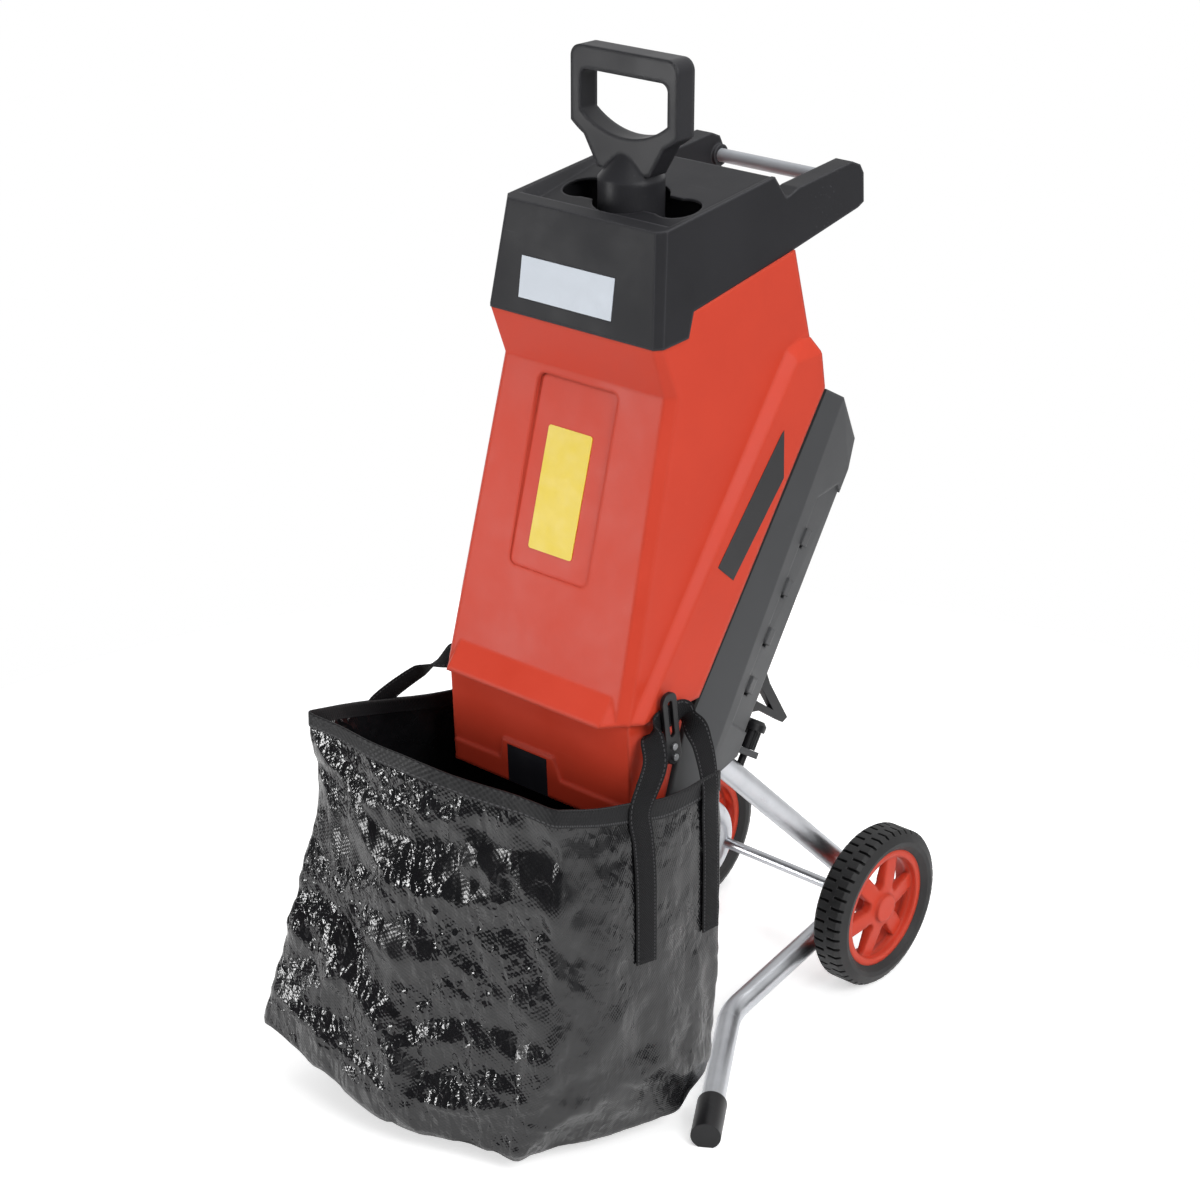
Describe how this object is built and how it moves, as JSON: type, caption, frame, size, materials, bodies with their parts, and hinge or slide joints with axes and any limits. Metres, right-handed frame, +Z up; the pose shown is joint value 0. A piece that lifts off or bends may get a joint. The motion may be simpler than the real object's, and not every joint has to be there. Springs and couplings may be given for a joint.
{
  "type": "garden shredder",
  "caption": "Upright electric garden shredder on a two-wheeled tube frame, with feed hopper and pusher, spinning blade disc, motor cover and a catch bag hung below the chute.",
  "frame": {"origin": "on the floor, at the middle of the bounding box", "axes": "+X to the machine's left-hand wheel as seen from behind, the right in the picture; +Y to the rear with the wheels; +Z up"},
  "size_m": [0.4316, 0.686, 1.054],
  "materials": {
    "red_shell": "satin moulded red plastic",
    "charcoal": "fine grained dark plastic",
    "grey_cover": "fine grained grey plastic",
    "black_plastic": "plain black plastic",
    "soft_seal": "matt rubber",
    "tyre": "matt rubber with tread blocks",
    "zinc_tube": "bright zinc",
    "tool_steel": "plain ground steel",
    "copper": "wound copper and steel core",
    "bag_cloth": "shiny woven black plastic cloth",
    "webbing": "ribbed black webbing",
    "white_plate": "plain white film, no print",
    "yellow_plate": "plain yellow film, no print",
    "green_button": "gloss green plastic",
    "red_button": "gloss red plastic"
  },
  "bodies": {
    "machine": {"front_housing": "red_shell", "hopper_top": "charcoal", "feed_duct": "charcoal", "side_plates": "charcoal", "rear_cover": "grey_cover", "bag_hook_left": "black_plastic", "bag_hook_right": "black_plastic", "foot_cap_left": "black_plastic", "foot_cap_right": "black_plastic", "switch_box": "black_plastic", "power_inlet": "black_plastic", "cord_hook": "black_plastic", "safety_switch": "black_plastic", "brush_holders": "black_plastic", "chute_plate": "black_plastic", "housing_seal": "soft_seal", "leg_tube_left": "zinc_tube", "leg_tube_right": "zinc_tube", "carry_bar": "zinc_tube", "axle": "zinc_tube", "wheel_spacers": "zinc_tube", "inlet_pins": "zinc_tube", "counter_blade": "tool_steel", "motor_plate": "tool_steel", "bearing_front": "tool_steel", "bearing_rear": "tool_steel", "rear_bracket": "tool_steel", "stator": "tool_steel", "housing_screws": "tool_steel", "hook_screws": "tool_steel", "bag_body": "bag_cloth", "bag_hem": "bag_cloth", "strap_left": "webbing", "strap_right": "webbing", "name_plate": "white_plate", "panel_plate": "yellow_plate"},
    "pusher": {"pusher": "charcoal"},
    "wheel_left": {"tyre_left": "tyre", "wheel_hub_left": "red_shell"},
    "wheel_right": {"tyre_right": "tyre", "wheel_hub_right": "red_shell"},
    "cutter": {"motor_shaft": "tool_steel", "rotor_core": "copper", "commutator": "copper", "cooling_fan": "charcoal", "blade_disc": "tool_steel", "blades": "tool_steel", "blade_screws": "tool_steel", "disc_nut": "zinc_tube"},
    "knob_left": {"leg_knob_left": "black_plastic"},
    "knob_right": {"leg_knob_right": "black_plastic"},
    "start_button": {"start_button": "green_button"},
    "stop_button": {"stop_button": "red_button"},
    "reset_button": {"reset_button": "charcoal"}
  },
  "joints": [
    {"name": "pusher_lift", "type": "slide", "parent": "machine", "child": "pusher", "axis": [0, 0, 1], "range_m": [0, 0.24]},
    {"name": "wheel_left_spin", "type": "hinge", "parent": "machine", "child": "wheel_left", "pos_m": [-0.13, 0.253, 0.09], "axis": [1, 0, 0], "continuous": true},
    {"name": "wheel_right_spin", "type": "hinge", "parent": "machine", "child": "wheel_right", "pos_m": [0.13, 0.253, 0.09], "axis": [1, 0, 0], "continuous": true},
    {"name": "cutter_spin", "type": "hinge", "parent": "machine", "child": "cutter", "pos_m": [0, -0.01189, 0.50818], "axis": [0, 0.8055, -0.5926], "continuous": true},
    {"name": "knob_left_turn", "type": "hinge", "parent": "machine", "child": "knob_left", "pos_m": [-0.09, 0.06347, 0.32774], "axis": [0, 0.5451, 0.8384], "continuous": true},
    {"name": "knob_right_turn", "type": "hinge", "parent": "machine", "child": "knob_right", "pos_m": [0.09, 0.06347, 0.32774], "axis": [0, 0.5451, 0.8384], "continuous": true},
    {"name": "start_press", "type": "slide", "parent": "machine", "child": "start_button", "axis": [0, -0.8384, 0.5451], "range_m": [0, 0.003], "stiffness_N_per_m": 600},
    {"name": "stop_press", "type": "slide", "parent": "machine", "child": "stop_button", "axis": [0, -0.8384, 0.5451], "range_m": [0, 0.003], "stiffness_N_per_m": 600},
    {"name": "reset_press", "type": "slide", "parent": "machine", "child": "reset_button", "axis": [0, -0.8384, 0.5451], "range_m": [0, 0.003], "stiffness_N_per_m": 600}
  ]
}
